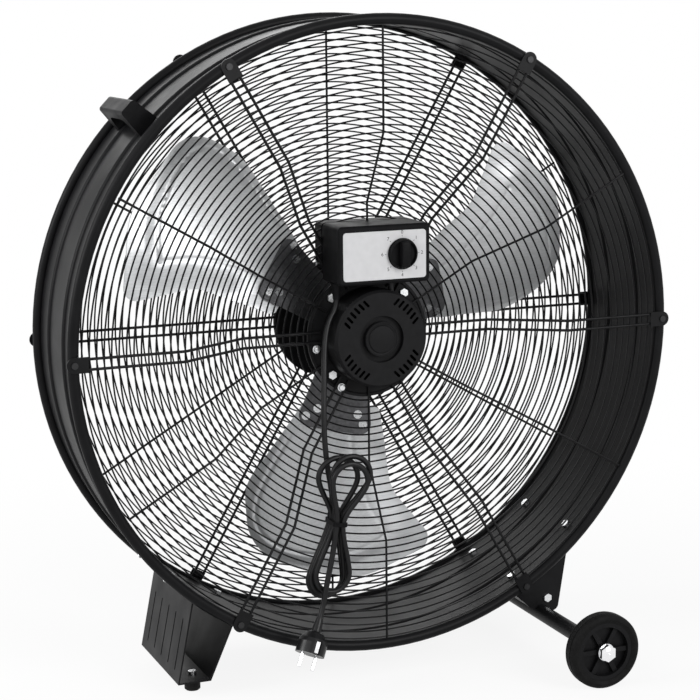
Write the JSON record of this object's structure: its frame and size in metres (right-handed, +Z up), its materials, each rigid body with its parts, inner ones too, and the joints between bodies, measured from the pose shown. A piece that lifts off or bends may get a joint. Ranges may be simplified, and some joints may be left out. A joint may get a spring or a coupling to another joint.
{
  "type": "drum fan",
  "caption": "Large floor drum fan: wire grilles over a rolled drum, bladed fan on a rear motor with a speed knob, carrying handle, wheels on one side and a folded leg on the other.",
  "frame": {"origin": "on the floor, on the drum's middle line, 66.5 mm from the middle of the drum towards the control side, which is the middle between the two ends of the axle", "axes": "+Z up; +Y along the fan axis, from the control side to the open front; +X towards the wheels, to the right seen from the control side"},
  "size_m": [0.805, 0.3976, 0.8319],
  "materials": {
    "drum_paint": "glossy black paint",
    "wire_coat": "satin black coating",
    "leg_paint": "satin black paint",
    "motor_paint": "matt black paint",
    "black_plastic": "fine grained",
    "plug_plastic": "moulded",
    "handle_plastic": "fine grained",
    "faceplate_grey": "satin light grey",
    "blade_aluminium": "satin rolled sheet",
    "hub_casting": "as cast",
    "zinc": "zinc plated",
    "black_screw": "black finish",
    "bright_steel": "ground",
    "core_steel": "stacked sheets",
    "copper": "enamelled wire",
    "chrome": "polished",
    "tyre": "matt",
    "wheel_plastic": "moulded",
    "foot_rubber": "matt",
    "cord_rubber": "smooth"
  },
  "bodies": {
    "chassis": {"drum_shell": "drum_paint", "rear_grille": "wire_coat", "front_grille": "wire_coat", "front_centre_disc": "wire_coat", "rear_clips": "wire_coat", "front_clips": "wire_coat", "clip_screws": "black_screw", "carry_handle": "handle_plastic", "handle_screws": "zinc", "motor_mount_plate": "motor_paint", "mount_bolts": "zinc", "hex_nuts": "zinc", "motor_housing": "motor_paint", "motor_end_bell": "motor_paint", "motor_rear_cover": "motor_paint", "motor_lead": "cord_rubber", "stator_core": "core_steel", "stator_windings": "copper", "front_bearing": "bright_steel", "rear_bearing": "bright_steel", "control_box": "black_plastic", "faceplate": "faceplate_grey", "box_back_pan": "black_plastic", "box_screws": "zinc", "rotary_switch": "black_plastic", "run_capacitor": "plug_plastic", "cable_gland": "black_plastic", "left_leg": "leg_paint", "rubber_feet": "foot_rubber", "foot_screws": "zinc", "right_leg": "leg_paint", "leg_bolts": "zinc", "axle_saddle": "leg_paint", "saddle_bolts": "zinc", "axle_tube": "leg_paint", "axle_rod": "bright_steel", "axle_washers": "zinc", "axle_cap_nuts": "chrome", "cord_lead": "cord_rubber", "cord_hank": "cord_rubber", "cord_tail": "cord_rubber", "cord_tie": "black_plastic", "plug_body": "plug_plastic", "plug_pins": "chrome"},
    "fan": {"rotor_core": "core_steel", "motor_shaft": "bright_steel", "fan_hub": "hub_casting", "hub_set_screw": "black_screw", "fan_blade_1": "blade_aluminium", "fan_blade_2": "blade_aluminium", "fan_blade_3": "blade_aluminium", "blade_rivets": "zinc"},
    "knob": {"speed_knob": "black_plastic", "switch_shaft": "bright_steel"},
    "near_wheel": {"near_wheel_hub": "wheel_plastic", "near_wheel_tyre": "tyre"},
    "far_wheel": {"far_wheel_hub": "wheel_plastic", "far_wheel_tyre": "tyre"}
  },
  "joints": [
    {"name": "fan_spin", "type": "hinge", "parent": "chassis", "child": "fan", "pos_m": [0, 0.0665, 0.432], "axis": [0, 1, 0], "continuous": true},
    {"name": "knob_turn", "type": "hinge", "parent": "chassis", "child": "knob", "pos_m": [0.023, -0.0335, 0.5395], "axis": [0, 1, 0], "range_deg": [0, 315]},
    {"name": "near_wheel_spin", "type": "hinge", "parent": "chassis", "child": "near_wheel", "pos_m": [0.227, -0.1795, 0.048], "axis": [0, 1, 0], "continuous": true},
    {"name": "far_wheel_spin", "type": "hinge", "parent": "chassis", "child": "far_wheel", "pos_m": [0.227, 0.1795, 0.048], "axis": [0, 1, 0], "continuous": true}
  ]
}
